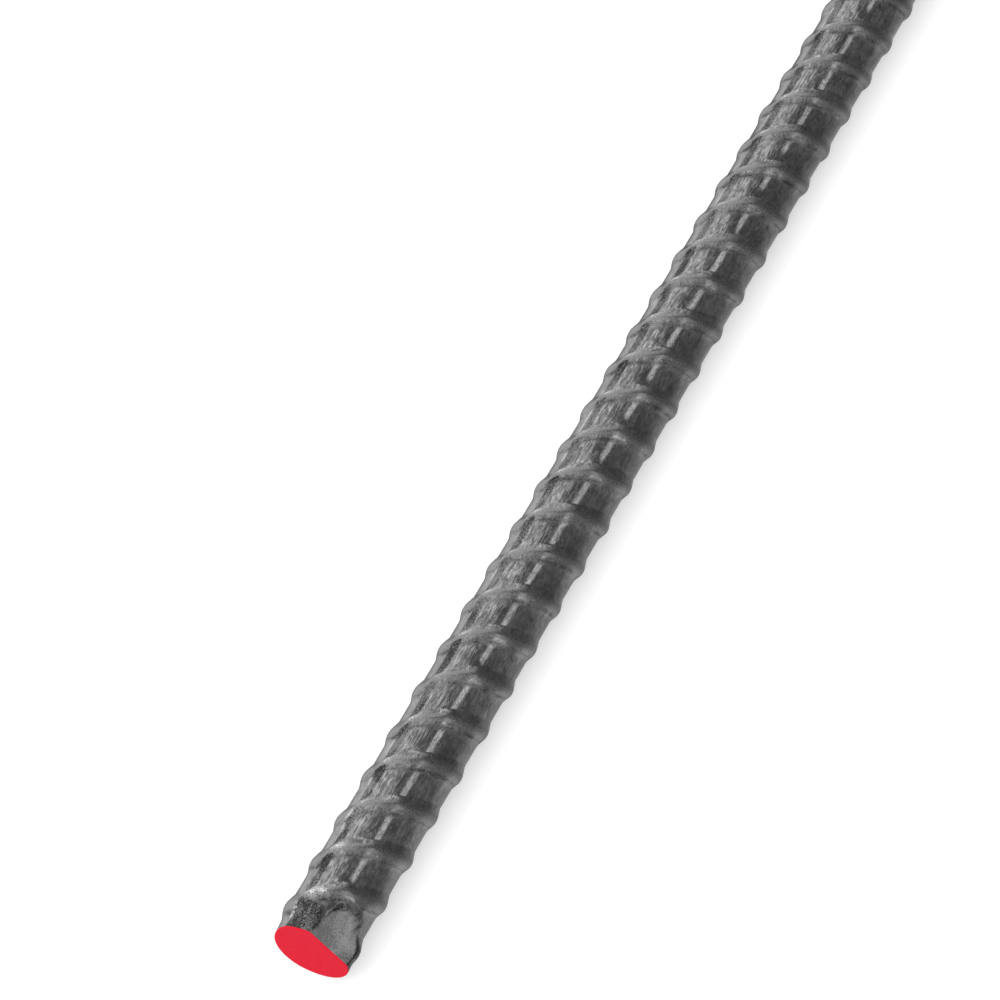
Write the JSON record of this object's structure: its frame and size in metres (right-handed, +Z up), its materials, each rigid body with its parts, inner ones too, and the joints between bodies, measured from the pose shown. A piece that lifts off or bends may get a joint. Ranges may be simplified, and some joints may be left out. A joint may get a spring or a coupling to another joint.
{
  "type": "deformed reinforcing bar",
  "caption": "Straight ribbed steel reinforcing bar for concrete, cut to length by a shear, with a red painted end face.",
  "frame": {"origin": "middle of the bar's length, on the level surface that the bar lies on", "axes": "+X along the bar's axis, towards its painted end; +Z up as the bar lies"},
  "size_m": [0.6096, 0.0126, 0.0127],
  "materials": {
    "bar": "matte"
  },
  "bodies": {
    "root": {"bar": "bar"}
  },
  "joints": []
}
